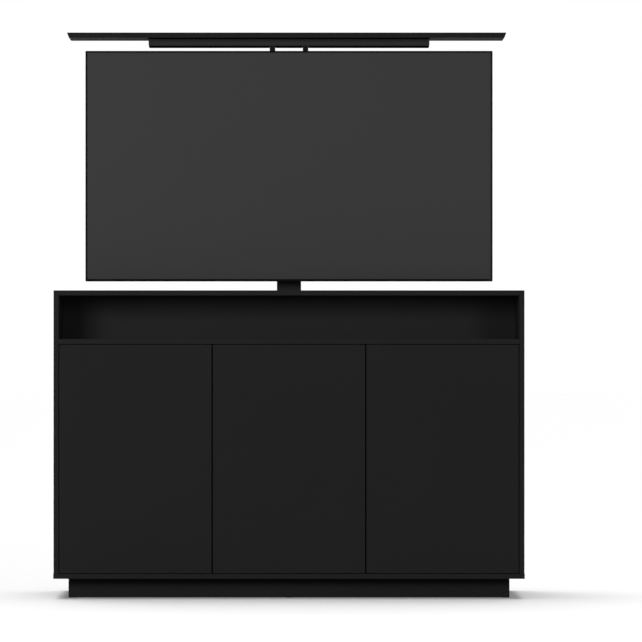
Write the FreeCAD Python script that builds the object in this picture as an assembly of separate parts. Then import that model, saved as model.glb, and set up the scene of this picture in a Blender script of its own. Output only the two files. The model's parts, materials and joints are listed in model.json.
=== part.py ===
import os

import FreeCAD
import Part

# A television lift cabinet, in millimetres. The origin is on the floor under the middle of the cabinet,
# +X is to the right seen from the front, the front faces -Y and +Z is up. The lift stands fully raised.

V = FreeCAD.Vector

# ---------------------------------------------------------------- cabinet
cabinet_width = 1500.0
cabinet_depth = 457.0
board = 16.0                    # thickness of every carcass board and door
edge_break = 0.6                # chamfer on the sharp edges of a board
bottom_overhang = 1.0           # the bottom panel stands out past each side
glide_thickness = 1.0           # pads under the plinth
glide_radius = 12.0
plinth_height = 63.0
plinth_front_setback = 70.0
plinth_side_setback = 44.0
plinth_rear_setback = 20.0
brace_size = 40.0               # glued corner blocks in the plinth
niche_height = 139.0
well_depth = 195.0              # from the well's front wall to the rear panel
door_height = 728.0
door_gap = 2.0                  # round the outside of the three doors
door_pair_gap = 4.0             # between neighbouring doors
divider_setback = 12.0          # room behind the doors for their turning edges
dowel_radius = 4.0
dowel_in_panel = 10.0
dowel_in_side = 22.0
dowel_inset = 58.5              # outer dowels from the front and rear edges
fit = 0.02                      # radial slack of a glued or pressed round fit
past = 1.0                      # how far a cutting tool runs past a face
near = 0.1                      # tolerance for telling one edge from another

# ---------------------------------------------------------------- inside the compartments
shelf_setback = 22.0            # behind the doors
shelf_side_slack = 1.0
shelf_drop = 340.0              # underside of the loose shelf above the compartment floor
pin_radius = 2.5
pin_hole_depth = 7.0
pin_reach = 8.0                 # how far a pin carries the shelf
pin_pitch = 32.0
pin_steps = 2                   # spare holes above and below the one in use
pin_inset = 37.0                # from the shelf's front and rear edges
port_radius = 30.0              # hole for a cable grommet
grommet_bore = 25.0
grommet_flange = 4.0            # how far the flange covers the board
grommet_flange_thickness = 2.0
inner_port_height = 60.0        # above the compartment floor

# ---------------------------------------------------------------- door pivots and latches
pivot_inset = 20.0              # pivot line from the door's hinged edge
pivot_radius = 3.0
pivot_length = 10.0             # the pin's length in the bush
pivot_flange_radius = 8.0
pivot_flange = 2.0              # let flush into the board
bush_radius = 5.0
bush_length = 12.0
running = 0.05                  # radial slack of a turning or sliding fit
latch_width = 14.0
latch_height = 14.0
latch_length = 50.0
latch_inset = 35.0              # from the door's free edge
latch_travel = 4.0
latch_tip_radius = 4.5
latch_tip = 3.0
latch_rod_radius = 3.0
latch_rod = 34.0
latch_round = 1.5               # on the latch body's edges
latch_tip_round = 1.0
seat = 0.3                      # gap where two moving things rest against each other

# ---------------------------------------------------------------- rear of the cabinet
rear_board = 8.0
rear_recess = 3.0               # rear panel's outer face in from the carcass's rear edges
batten = 20.0                   # section of the rear battens, front to back
batten_height = 40.0
screw_head_radius = 4.0
screw_shank_radius = 1.8
screw_length = 22.0
rear_screw_columns = 5
rear_port_spacing = 1000.0
rear_port_height = 120.0        # above the cabinet floor
vent_length = 120.0
vent_height = 6.0
vent_pitch = 16.0
vent_rows = 6
vent_spacing = 700.0
vent_drop = 190.0               # from the top panel down to the highest slot

# ---------------------------------------------------------------- lid
lid_margin_left = 13.9          # from the left side panel's inner face
lid_margin_right = 29.1
lid_depth = 150.0
lid_gap = 3.0                   # slot round the lid
lid_bevel_in = 5.0              # the lid's edges slope in towards its underside
lid_bevel_drop = 13.0
lid_wall_clearance = 1.0        # from the well's front wall to the slot
lid_batten_length = 917.0
lid_batten_height = 22.0
lid_batten_setback = 72.0       # behind the lid's front edge
lid_batten_round = 3.5
lid_screw_spacing = 150.0
lid_screws_each_side = 2

# ---------------------------------------------------------------- television
tv_width = 1323.0
tv_height = 749.0
tv_depth = 50.0
tv_edge_depth = 22.0            # the thin rim of the television
tv_setback = 10.0               # behind the lid's front edge
tv_rise_gap = 33.0              # raised television above the top panel
tv_to_batten = 21.0
bezel_face = 5.5
bezel_foot = 7.5                # the lower bezel is a little taller
bezel_lip = 1.5
bezel_wall = 1.8
bezel_round = 3.0
screen_thickness = 6.0
screen_fit = 0.3
cover_wall = 2.5
cover_step = 2.0                # the back cover stands out behind the bezel frame
bulge_width = 1000.0
bulge_foot = 36.0               # bulge above the television's lower edge
bulge_height = 600.0
bulge_slope = 22.0
vesa_spacing = 400.0
vesa_bolt_radius = 4.0
vesa_boss_radius = 9.0
vesa_boss_depth = 18.0
tv_vent_width = 3.0
tv_vent_height = 22.0
tv_vent_pitch = 12.0
tv_vent_count = 48
tv_vent_drop = 40.0             # below the bulge's top
socket_bay_width = 150.0
socket_bay_height = 90.0
socket_bay_depth = 9.0
socket_bay_side = 360.0         # bay centre from the television's middle
socket_bay_rise = 130.0         # bay centre above the bulge's foot

# ---------------------------------------------------------------- television mount
rail_width = 30.0
rail_depth = 12.0
rail_overlap = 15.0             # rail beyond the outer bolt
rail_wall = 2.5
hook_reach = 6.0                # the rail's hooks behind the mount plate
hook_height = 15.0
plate_width = 520.0
plate_height = 160.0
plate_thickness = 3.0
plate_slack = 0.2
hanger_thickness = 6.0
hanger_width = 80.0
post_width = 18.0
post_thickness = 8.0
post_spacing = 108.0
post_foot = 50.0
post_foot_thickness = 5.0
bolt_radius = 3.0
bolt_head_radius = 5.0
bolt_head = 3.5
bolt_slack = 0.2
bolt_inset = 10.0               # from a bolt's middle to the plate's edge
rail_bolt_head_radius = 6.0
hanger_round = 5.0              # outer corner of the hanger bracket
socket_radius = 2.5
socket_depth = 2.0

# ---------------------------------------------------------------- lift column
column_width = 91.0
column_depth = 66.0
column_clearance = 2.5          # behind the lid posts
tube_wall = 2.5
tube_round = 2.0                # outer corners of a tube
stage_gap = 3.5                 # between one tube and the next
pad_play = 0.2                  # between a glide pad and the tube that slides on it
inner_depth = 28.0
guide_overlap = 165.5           # length still inside the stage below when raised
base_width = 160.0
base_depth = 100.0
base_thickness = 6.0
base_bolt_cover = 2.0           # board left under the base bolts
nut_room = 24.0                 # middle stage above the base plate when lowered
stage_step = 20.0               # inner stage above the middle stage's foot when lowered
foot_plate = 8.0
pad_height = 40.0
pad_width = 24.0
side_pad_width = 14.0
screw_radius = 6.0
screw_below_top = 30.0
screw_chamfer = 1.0
bearing_radius = 17.0
bearing_height = 12.0
nut_radius = 11.0
nut_flange_radius = 16.0
nut_flange = 6.0
pulley_radius = 6.0
belt_thickness = 1.2
belt_width = 10.0
belt_slack = 0.1
axle_radius = 2.0
ear_gap = 6.5                   # from the middle of the belt to a pulley ear
ear_thickness = 2.0
ear_height = 20.0
belt_foot = 45.0                # lower pulley above the middle stage's foot
belt_head = 14.0                # upper pulley below the middle stage's top
clamp_height = 16.0
clamp_width = 14.0
clamp_wall = 1.2
outer_clamp_drop = 25.0         # outer clamp's centre below the outer column's top
inner_clamp_rise = 60.0         # inner clamp above the inner column's foot
slot_width = 18.0               # lets the outer clamp through the middle column
slot_margin = 5.0
head_cap = 5.0
motor_radius = 26.0
motor_length = 110.0
motor_end_cap = 12.0
motor_cap_step = 3.0            # end cap's radius less than the motor's
gearbox_width = 18.0
gearbox_depth = 60.0
gearbox_height = 60.0
gearbox_round = 3.0
bracket_height = 60.0
bracket_drop = 90.0             # bracket's foot below the outer column's top
bracket_half = 60.0
bracket_web_half = 30.0
bracket_wall = 3.0
control_width = 130.0
control_height = 60.0
control_depth = 25.0
control_side = 200.0            # control box centre to the left of the column
control_round = 3.0
inlet_width = 24.0
inlet_height = 16.0
inlet_depth = 12.0
inlet_pin_radius = 1.2
inlet_pin_length = 9.0

# ---------------------------------------------------------------- worked-out planes of the cabinet
half_width = cabinet_width / 2
side_inner = half_width - board
front_y = -cabinet_depth / 2
back_y = cabinet_depth / 2
plinth_top = glide_thickness + plinth_height
floor_z = plinth_top + board
door_foot = floor_z + door_gap
door_head = door_foot + door_height
shelf_foot = door_head + door_gap
shelf_top = shelf_foot + board
top_foot = shelf_top + niche_height
cabinet_top = top_foot + board
door_back_y = front_y + board
rear_outer_y = back_y - rear_recess
rear_inner_y = rear_outer_y - rear_board
well_front_y = rear_inner_y - well_depth
wall_front_y = well_front_y - board
batten_front_y = rear_inner_y - batten
dowel_rows = (front_y + dowel_inset, 0.0, back_y - dowel_inset)
door_width = (2 * side_inner - 2 * door_gap - 2 * door_pair_gap) / 3
divider_x = (door_width + door_pair_gap) / 2
side_door_inner = divider_x + door_pair_gap / 2
compartments = [(-side_inner, -divider_x - board / 2), (-divider_x + board / 2, divider_x - board / 2),
                (divider_x + board / 2, side_inner)]

# lid and television, raised
lid_left = -side_inner + lid_margin_left
lid_right = side_inner - lid_margin_right
lid_front_y = well_front_y + lid_wall_clearance + lid_gap
lid_back_y = lid_front_y + lid_depth
tv_front_y = lid_front_y + tv_setback
tv_foot = cabinet_top + tv_rise_gap
tv_head = tv_foot + tv_height
tv_middle = tv_foot + tv_height / 2
batten_foot = tv_head + tv_to_batten
lid_foot = batten_foot + lid_batten_height
lid_top = lid_foot + board
lift_travel = lid_top - cabinet_top
stage_travel = lift_travel / 2
lid_batten_front = lid_front_y + lid_batten_setback
lid_batten_depth = lid_back_y - lid_batten_front

# planes of the mount, from the television backwards
screen_front_y = tv_front_y + bezel_lip
screen_back_y = screen_front_y + screen_thickness
cover_rim_y = tv_front_y + tv_edge_depth
tv_back_y = tv_front_y + tv_depth
plate_front_y = tv_back_y + rail_depth
plate_back_y = plate_front_y + plate_thickness
post_back_y = plate_back_y + post_thickness
plate_foot = tv_middle - plate_height / 2
plate_head = tv_middle + plate_height / 2

# column, front to back, and its stages as they stand raised
outer_front = post_back_y + column_clearance
outer_back = outer_front + column_depth
shrink = tube_wall + stage_gap
middle_front, middle_back = outer_front + shrink, outer_back - shrink
middle_half = column_width / 2 - shrink
inner_front = middle_front + shrink
inner_back = inner_front + inner_depth
inner_half = middle_half - shrink
outer_half = column_width / 2
base_top = floor_z + base_thickness
outer_top = base_top + nut_room + stage_travel + guide_overlap
middle_foot = base_top + nut_room + stage_travel
middle_top = base_top + nut_room + stage_step + 2 * stage_travel + guide_overlap
inner_foot = base_top + nut_room + stage_step + lift_travel
inner_top = middle_top + stage_travel + stage_step
screw_y = (inner_front + inner_back) / 2
middle_wall_y = middle_back - tube_wall
outer_wall_y = outer_back - tube_wall
belt_radius = pulley_radius + belt_slack
belt_y = (inner_back + middle_wall_y) / 2
lower_pulley_z = middle_foot + belt_foot
upper_pulley_z = middle_top - belt_head
bracket_foot = outer_top - bracket_drop

# bolts, from the seat of the head to the tip
plate_bolt_length = plate_thickness + hanger_thickness
post_bolt_length = post_foot_thickness + lid_batten_height / 2
head_bolt_length = hanger_thickness + head_cap
base_bolt_length = base_thickness + board - base_bolt_cover
bracket_bolt_length = bracket_wall + batten / 2


# ---------------------------------------------------------------- helpers
def box(x0, x1, y0, y1, z0, z1):
    return Part.makeBox(x1 - x0, y1 - y0, z1 - z0, V(x0, y0, z0))


def board_box(x0, x1, y0, y1, z0, z1):
    """A board with its edges broken."""
    plain = box(x0, x1, y0, y1, z0, z1)
    return plain.makeChamfer(edge_break, plain.Edges).Solids[0]


def rod(radius, start, end):
    along = end.sub(start)
    return Part.makeCylinder(radius, along.Length, start, along)


def edges_where(shape, keep):
    return [edge for edge in shape.Edges if keep(edge.BoundBox)]


def both_sides(shape):
    return [shape, shape.mirror(V(0, 0, 0), V(1, 0, 0))]


def cap_bolt(seat_point, direction, length):
    """A cap-head bolt: the head stands out of the seat point, the shank runs along the direction."""
    top = seat_point.sub(V(direction).multiply(bolt_head))
    head = rod(bolt_head_radius, top, seat_point)
    shank = rod(bolt_radius, seat_point, seat_point.add(V(direction).multiply(length)))
    socket = rod(socket_radius, top, top.add(V(direction).multiply(socket_depth)))
    return head.fuse(shank).cut(socket)


def bolt_hole(seat_point, direction, length):
    return rod(bolt_radius + bolt_slack, seat_point, seat_point.add(V(direction).multiply(length)))


def countersunk(head_point, direction, length, grow=0.0):
    """A countersunk screw, or with some growth the hole for it."""
    depth = screw_head_radius - screw_shank_radius
    head = Part.makeCone(screw_head_radius + grow, screw_shank_radius + grow, depth, head_point, direction)
    shank = rod(screw_shank_radius + grow, head_point, head_point.add(V(direction).multiply(length + grow)))
    return head.fuse(shank)


def save(name, *shapes):
    solids = [solid for shape in shapes for solid in shape.Solids]
    whole = solids[0] if len(solids) == 1 else Part.makeCompound(solids)
    whole.exportStep(os.path.join("parts", name + ".step"))


# ---------------------------------------------------------------- carcass
def side_dowel_lines():
    """Each dowel's end in the panel and its end in the side, at the top and bottom of both sides."""
    for x in (-half_width + board / 2, half_width - board / 2):
        for y in dowel_rows:
            yield V(x, y, top_foot + dowel_in_panel), V(x, y, top_foot - dowel_in_side)
            yield V(x, y, floor_z - dowel_in_panel), V(x, y, floor_z + dowel_in_side)


def side_dowel_holes():
    return Part.makeCompound([rod(dowel_radius + fit, a, b) for a, b in side_dowel_lines()])


def side_dowels():
    return [rod(dowel_radius, a, b) for a, b in side_dowel_lines()]


def top_panel():
    panel = board_box(-half_width, half_width, front_y, back_y, top_foot, cabinet_top)
    slot = box(lid_left - lid_gap, lid_right + lid_gap, lid_front_y - lid_gap, lid_back_y + lid_gap,
               top_foot - board, cabinet_top + board)
    return panel.cut(slot).cut(side_dowel_holes())


def pivot_flange_recess(x, face_z, into):
    """The pin's flange lies flush in the board; into is +1 or -1, the way into the board."""
    centre = V(x, door_pivot_y(), face_z)
    return rod(pivot_flange_radius + fit, centre, centre.add(V(0, 0, into * pivot_flange)))


def bottom_panel():
    edge = half_width + bottom_overhang
    panel = board_box(-edge, edge, front_y, back_y, plinth_top, floor_z)
    cuts = [pivot_flange_recess(x, floor_z, -1) for x in pivot_lines()]
    cuts += [bolt_hole(point, V(0, 0, -1), base_bolt_length) for point in base_bolt_points()]
    return panel.cut(side_dowel_holes()).cut(Part.makeCompound(cuts))


def pin_hole_heights():
    steps = range(-pin_steps, pin_steps + 1)
    return [floor_z + shelf_drop - pin_radius + step * pin_pitch for step in steps]


def shelf_front_y():
    return door_back_y + shelf_setback


def pin_rows():
    return (shelf_front_y() + pin_inset, wall_front_y - shelf_side_slack - pin_inset)


def pin_holes(face_x, into):
    """Rows of shelf pin holes in an upright board; into is +1 or -1, the way into the board."""
    holes = [rod(pin_radius + fit, V(face_x, y, z), V(face_x + into * pin_hole_depth, y, z))
             for y in pin_rows() for z in pin_hole_heights()]
    return Part.makeCompound(holes)


def side_panel(sign):
    outer, inner = sign * half_width, sign * side_inner
    panel = board_box(min(outer, inner), max(outer, inner), front_y, back_y, floor_z, top_foot)
    return panel.cut(side_dowel_holes()).cut(pin_holes(inner, sign))


def niche_shelf():
    panel = board_box(-side_inner, side_inner, front_y, well_front_y, shelf_foot, shelf_top)
    cuts = [pivot_flange_recess(x, shelf_foot, 1) for x in pivot_lines()]
    return panel.cut(Part.makeCompound(cuts))


def niche_back():
    return board_box(-side_inner, side_inner, wall_front_y, well_front_y, shelf_top, top_foot)


def inner_ports():
    return [((left + right) / 2, floor_z + inner_port_height) for left, right in compartments]


def port_holes(points, front, back, radius):
    """Round holes from front to back through each (x, z) point."""
    return Part.makeCompound([rod(radius, V(x, front, z), V(x, back, z)) for x, z in points])


def compartment_back():
    panel = board_box(-side_inner, side_inner, wall_front_y, well_front_y, floor_z, shelf_foot)
    return panel.cut(port_holes(inner_ports(), wall_front_y - board, well_front_y + board, port_radius))


def dividers():
    upright = board_box(divider_x - board / 2, divider_x + board / 2, door_back_y + divider_setback,
                        wall_front_y, floor_z, shelf_foot)
    upright = upright.cut(pin_holes(divider_x - board / 2, 1)).cut(pin_holes(divider_x + board / 2, -1))
    return both_sides(upright)


def loose_shelves():
    z = floor_z + shelf_drop
    return [board_box(left + shelf_side_slack, right - shelf_side_slack, shelf_front_y(),
                      wall_front_y - shelf_side_slack, z, z + board) for left, right in compartments]


def shelf_pins():
    z = floor_z + shelf_drop - pin_radius
    pins = []
    for left, right in compartments:
        for face, inward in ((left, 1), (right, -1)):
            for y in pin_rows():
                pins.append(rod(pin_radius, V(face - inward * (pin_hole_depth - fit), y, z),
                                V(face + inward * pin_reach, y, z)))
    return pins


# ---------------------------------------------------------------- plinth
def plinth_front():
    edge = half_width - plinth_side_setback
    y = front_y + plinth_front_setback
    return board_box(-edge, edge, y, y + board, glide_thickness, plinth_top)


def plinth_rear():
    edge = half_width - plinth_side_setback
    y = back_y - plinth_rear_setback
    return board_box(-edge, edge, y - board, y, glide_thickness, plinth_top)


def plinth_run():
    """Front and rear ends of the space between the plinth's front and rear boards."""
    return front_y + plinth_front_setback + board, back_y - plinth_rear_setback - board


def plinth_sides():
    edge = half_width - plinth_side_setback
    front, rear = plinth_run()
    return both_sides(board_box(edge - board, edge, front, rear, glide_thickness, plinth_top))


def plinth_braces():
    inner = half_width - plinth_side_setback - board
    front, rear = plinth_run()
    blocks = []
    for y in (front, rear - brace_size):
        blocks += both_sides(board_box(inner - brace_size, inner, y, y + brace_size,
                                       plinth_top - brace_size, plinth_top))
    rail = board_box(-board / 2, board / 2, front, rear, glide_thickness, plinth_top)
    return blocks + [rail]


def floor_glides():
    edge = half_width - plinth_side_setback - glide_radius
    rows = (front_y + plinth_front_setback + glide_radius, back_y - plinth_rear_setback - glide_radius)
    return [rod(glide_radius, V(x, y, 0), V(x, y, glide_thickness)) for x in (-edge, 0, edge) for y in rows]


# ---------------------------------------------------------------- rear panel
def rear_battens():
    """Posts in the rear corners, and between them a lower rail, the lift's rail and an upper rail."""
    def across(foot, height):
        end = side_inner - batten
        return board_box(-end, end, batten_front_y, rear_inner_y, foot, foot + height)
    bracket_holes = [bolt_hole(point, V(0, 1, 0), bracket_bolt_length) for point in bracket_bolt_points()]
    lift_rail = across(bracket_foot, bracket_height).cut(Part.makeCompound(bracket_holes))
    pieces = [across(floor_z, batten_height), lift_rail, across(top_foot - batten_height, batten_height)]
    pieces += both_sides(board_box(side_inner - batten, side_inner, batten_front_y, rear_inner_y,
                                   floor_z, top_foot))
    return [piece.cut(rear_screw_holes()) for piece in pieces]


def rear_screw_points():
    span = 2 * (side_inner - batten / 2)
    for column in range(rear_screw_columns):
        x = -span / 2 + column * span / (rear_screw_columns - 1)
        for z in (floor_z + batten / 2, top_foot - batten / 2):
            yield V(x, rear_outer_y, z)
    for x in (-span / 2, span / 2):
        yield V(x, rear_outer_y, (floor_z + top_foot) / 2)


def rear_screws():
    return [countersunk(point, V(0, -1, 0), screw_length) for point in rear_screw_points()]


def rear_screw_holes():
    holes = [countersunk(point, V(0, -1, 0), screw_length, fit) for point in rear_screw_points()]
    return Part.makeCompound(holes)


def rear_ports():
    return [(side * rear_port_spacing / 2, floor_z + rear_port_height) for side in (-1, 1)]


def rear_vents():
    slots = []
    for side in (-1, 1):
        x = side * vent_spacing / 2
        for row in range(vent_rows):
            z = top_foot - vent_drop - row * vent_pitch
            slots.append(box(x - vent_length / 2, x + vent_length / 2, rear_inner_y - board, back_y + board,
                             z, z + vent_height))
    return Part.makeCompound(slots)


def rear_panel():
    panel = board_box(-side_inner, side_inner, rear_inner_y, rear_outer_y, floor_z, top_foot)
    panel = panel.cut(port_holes(rear_ports(), rear_inner_y - board, back_y + board, port_radius))
    return panel.cut(rear_vents()).cut(rear_screw_holes())


def grommet(x, z, face_y, outward, thickness):
    """A ring whose flange lies on the face; outward is the sign of Y that the flange faces."""
    face = V(x, face_y, z)
    front = face.add(V(0, outward * grommet_flange_thickness, 0))
    end = face.add(V(0, -outward * thickness, 0))
    flange = rod(port_radius + grommet_flange, face, front)
    barrel = rod(port_radius - fit, face, end)
    return flange.fuse(barrel).cut(rod(grommet_bore, front, end))


def cable_grommets():
    inner = [grommet(x, z, wall_front_y, -1, board) for x, z in inner_ports()]
    return inner + [grommet(x, z, rear_outer_y, 1, rear_board) for x, z in rear_ports()]


# ---------------------------------------------------------------- doors
def door_pivot_y():
    return front_y + board / 2


def door_spans():
    """Left and right edges of the left, centre and right doors."""
    inner = door_width / 2
    return {"left": (-side_inner + door_gap, -side_door_inner), "centre": (-inner, inner),
            "right": (side_door_inner, side_inner - door_gap)}


def pivot_line(name):
    left, right = door_spans()[name]
    return right - pivot_inset if name == "right" else left + pivot_inset


def pivot_lines():
    return [pivot_line(name) for name in door_spans()]


def free_edge(name):
    left, right = door_spans()[name]
    return left + latch_inset if name == "right" else right - latch_inset


def door(name):
    left, right = door_spans()[name]
    panel = board_box(left, right, front_y, door_back_y, door_foot, door_head)
    x, y = pivot_line(name), door_pivot_y()
    for face, into in ((door_foot, 1), (door_head, -1)):
        panel = panel.cut(rod(bush_radius, V(x, y, face), V(x, y, face + into * bush_length)))
    return panel


def door_bushes(name):
    x, y = pivot_line(name), door_pivot_y()
    bushes = []
    for face, into in ((door_foot, 1), (door_head, -1)):
        start, end = V(x, y, face), V(x, y, face + into * (bush_length - fit))
        bore = rod(pivot_radius + running, start, V(x, y, face + into * (pivot_length + seat)))
        bushes.append(rod(bush_radius - fit, start, end).cut(bore))
    return bushes


def door_pivots():
    pins = []
    for x in pivot_lines():
        for face, into, door_face in ((floor_z, -1, door_foot), (shelf_foot, 1, door_head)):
            y = door_pivot_y()
            flange = rod(pivot_flange_radius, V(x, y, face), V(x, y, face + into * (pivot_flange - fit)))
            pin = rod(pivot_radius, V(x, y, face), V(x, y, door_face - into * pivot_length))
            pins.append(flange.fuse(pin))
    return pins


def latch_axis():
    return shelf_foot - latch_height / 2


def latch_body_front():
    return door_back_y + seat + latch_tip + latch_travel + seat


def latch_bodies():
    bodies = []
    for name in door_spans():
        x, y = free_edge(name), latch_body_front()
        body = box(x - latch_width / 2, x + latch_width / 2, y, y + latch_length,
                   latch_axis() - latch_height / 2, shelf_foot)
        lower_edges = edges_where(body, lambda b: b.ZMax < shelf_foot - near and b.YLength > near)
        body = body.makeFillet(latch_round, lower_edges)
        bore_end = door_back_y + seat + latch_tip + latch_rod + latch_travel + seat
        bodies.append(body.cut(rod(latch_rod_radius + running, V(x, y, latch_axis()),
                                   V(x, bore_end, latch_axis()))))
    return bodies


def latch_plunger(name):
    x, y, z = free_edge(name), door_back_y + seat, latch_axis()
    tip = rod(latch_tip_radius, V(x, y, z), V(x, y + latch_tip, z))
    front_rim = edges_where(tip, lambda b: b.YMax < y + near and b.XLength > near)
    tip = tip.makeFillet(latch_tip_round, front_rim)
    return tip.fuse(rod(latch_rod_radius, V(x, y + latch_tip, z), V(x, y + latch_tip + latch_rod, z)))


# ---------------------------------------------------------------- lid
def lid_panel():
    """A board whose edges slope in towards the underside, like a plug for the slot."""
    def section(low, high, across):
        points = [V(*across(low, lid_top)), V(*across(high, lid_top)),
                  V(*across(high, lid_foot + lid_bevel_drop)), V(*across(high - lid_bevel_in, lid_foot)),
                  V(*across(low + lid_bevel_in, lid_foot)), V(*across(low, lid_foot + lid_bevel_drop))]
        return Part.Face(Part.makePolygon(points + points[:1]))
    lengthwise = section(lid_left, lid_right, lambda x, z: (x, lid_front_y, z)).extrude(V(0, lid_depth, 0))
    span = lid_right - lid_left
    crosswise = section(lid_front_y, lid_back_y, lambda y, z: (lid_left, y, z)).extrude(V(span, 0, 0))
    lid = lengthwise.common(crosswise).Solids[0]
    lid = lid.makeChamfer(edge_break, edges_where(lid, lambda b: b.ZMin > lid_top - near)).Solids[0]
    return lid.cut(Part.makeCompound(lid_screw_shapes(fit)))


def lid_batten():
    x, y = lid_batten_length / 2, lid_batten_front
    strip = box(-x, x, y, y + lid_batten_depth, batten_foot, lid_foot)
    strip = strip.makeFillet(lid_batten_round, edges_where(strip, lambda b: b.ZMax < batten_foot + near))
    foot_holes = [bolt_hole(point, V(0, 0, 1), post_bolt_length) for point in post_bolt_points()]
    return strip.cut(Part.makeCompound(lid_screw_shapes(fit) + foot_holes))


def lid_screw_shapes(grow=0.0):
    y = lid_batten_front + lid_batten_depth / 2
    length = lid_batten_height + board / 2
    shapes = []
    for step in range(1, lid_screws_each_side + 1):
        for side in (-1, 1):
            point = V(side * step * lid_screw_spacing, y, batten_foot)
            shapes.append(countersunk(point, V(0, 0, 1), length, grow))
    return shapes


def post_bolt_points():
    y = plate_back_y + post_foot - post_width / 2
    return [V(side * post_spacing / 2, y, batten_foot - post_foot_thickness) for side in (-1, 1)]


def lid_posts():
    x = post_spacing / 2
    left, right = x - post_width / 2, x + post_width / 2
    bar = box(left, right, plate_back_y, post_back_y, plate_foot, batten_foot)
    flange = box(left, right, plate_back_y, plate_back_y + post_foot,
                 batten_foot - post_foot_thickness, batten_foot)
    post = bar.fuse(flange).removeSplitter()
    bolts = [bolt_hole(point, V(0, 0, 1), post_bolt_length) for point in post_bolt_points()]
    bolts += [bolt_hole(point, V(0, 1, 0), plate_bolt_length) for point in plate_bolt_points()]
    return [piece.cut(Part.makeCompound(bolts)) for piece in both_sides(post)]


# ---------------------------------------------------------------- television
def tv_box(inset, y0, y1):
    """A block with the television's outline, set in by some amount on all four edges."""
    x = tv_width / 2 - inset
    return box(-x, x, y0, y1, tv_foot + inset, tv_head - inset)


def tv_bezel():
    outer = tv_box(0, tv_front_y, cover_rim_y - cover_step)
    outer = outer.makeFillet(bezel_round, edges_where(outer, lambda b: b.YLength > near))
    hollow = tv_box(bezel_wall, screen_front_y, cover_rim_y)
    edge = tv_width / 2 - bezel_face
    window = box(-edge, edge, tv_front_y - past, screen_front_y + past, tv_foot + bezel_foot,
                 tv_head - bezel_face)
    return outer.cut(hollow).cut(window)


def tv_screen():
    return tv_box(bezel_wall + screen_fit, screen_front_y, screen_back_y)


def tv_back_form(inset, front):
    """The back cover's rim and bulge, set in by some amount."""
    rim = tv_box(bezel_wall + screen_fit + inset, front, cover_rim_y - inset)
    x = bulge_width / 2 - inset
    bulge = box(-x, x, front, tv_back_y - inset, tv_foot + bulge_foot + inset,
                tv_foot + bulge_foot + bulge_height - inset)
    slope = edges_where(bulge, lambda b: b.YMin > tv_back_y - inset - near)
    bulge = bulge.makeChamfer(bulge_slope, slope)
    return rim.fuse(bulge)


def socket_bay(grow):
    """The recess for the television's sockets, or with some growth the recess's outside."""
    x, z = socket_bay_side, tv_foot + bulge_foot + socket_bay_rise
    across, up = socket_bay_width / 2 + grow, socket_bay_height / 2 + grow
    return box(x - across, x + across, tv_back_y - socket_bay_depth - grow, tv_back_y + past, z - up, z + up)


def vesa_points():
    half = vesa_spacing / 2
    return [(x, tv_middle + z) for x in (-half, half) for z in (-half, half)]


def tv_vents():
    z = tv_foot + bulge_foot + bulge_height - tv_vent_drop
    start = -(tv_vent_count - 1) * tv_vent_pitch / 2
    slots = []
    for i in range(tv_vent_count):
        x = start + i * tv_vent_pitch
        slots.append(box(x, x + tv_vent_width, tv_back_y - 2 * cover_wall, tv_back_y + past,
                         z - tv_vent_height, z))
    return Part.makeCompound(slots)


def tv_back_cover():
    outer = tv_back_form(0, screen_back_y).cut(socket_bay(0))
    hollow = tv_back_form(cover_wall, screen_back_y - past).cut(socket_bay(cover_wall))
    shell = outer.cut(hollow).cut(tv_vents())
    for x, z in vesa_points():
        foot = V(x, tv_back_y - vesa_boss_depth, z)
        boss = rod(vesa_boss_radius, foot, V(x, tv_back_y - cover_wall / 2, z))
        bolt_way = rod(vesa_bolt_radius + fit, foot.add(V(0, cover_wall, 0)), V(x, tv_back_y + past, z))
        shell = shell.fuse(boss).cut(bolt_way)
    return shell.removeSplitter()


# ---------------------------------------------------------------- television mount
def mount_rails():
    """Upright channels on the television's back that hook over the mount plate."""
    x, half, reach = vesa_spacing / 2, rail_width / 2, vesa_spacing / 2 + rail_overlap
    foot, head = tv_middle - reach, tv_middle + reach
    inside = half - rail_wall
    rail = box(x - half, x + half, tv_back_y, plate_front_y, foot, head)
    rail = rail.cut(box(x - inside, x + inside, tv_back_y + rail_wall, plate_back_y, foot, head))
    over = (plate_head + plate_slack, plate_head + hook_height)
    under = (plate_foot - hook_height, plate_foot - plate_slack)
    for low, high in (over, under):
        for left in (x - half, x + inside):
            rail = rail.fuse(box(left, left + rail_wall, plate_front_y, plate_back_y + hook_reach, low, high))
    way = tv_back_y + rail_wall + past
    holes = port_holes(vesa_points(), tv_back_y - past, way, vesa_bolt_radius + bolt_slack)
    return [piece.cut(holes) for piece in both_sides(rail.removeSplitter())]


def rail_bolts():
    bolts = []
    for x, z in vesa_points():
        face = V(x, tv_back_y + rail_wall, z)
        head = rod(rail_bolt_head_radius, face, face.add(V(0, bolt_head, 0)))
        shank = rod(vesa_bolt_radius, face, V(x, tv_back_y - vesa_boss_depth + cover_wall + fit, z))
        bolts.append(head.fuse(shank))
    return bolts


def plate_bolt_points():
    """Bolts through the mount plate, into the hanger bracket and the lid posts."""
    rows = (plate_foot + hook_height, plate_head - hook_height)
    columns = (-post_spacing / 2, -hanger_width / 4, hanger_width / 4, post_spacing / 2)
    return [V(x, plate_front_y, z) for x in columns for z in rows]


def head_bolt_points():
    return [V(x, y, inner_top + hanger_thickness) for x in (-inner_half / 2, inner_half / 2)
            for y in (screw_y - inner_depth / 4, screw_y + inner_depth / 4)]


def mount_plate():
    plate = box(-plate_width / 2, plate_width / 2, plate_front_y, plate_back_y, plate_foot, plate_head)
    plate = plate.makeFillet(bolt_head_radius, edges_where(plate, lambda b: b.YLength > near))
    holes = [bolt_hole(point, V(0, 1, 0), plate_bolt_length) for point in plate_bolt_points()]
    return plate.cut(Part.makeCompound(holes))


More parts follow.
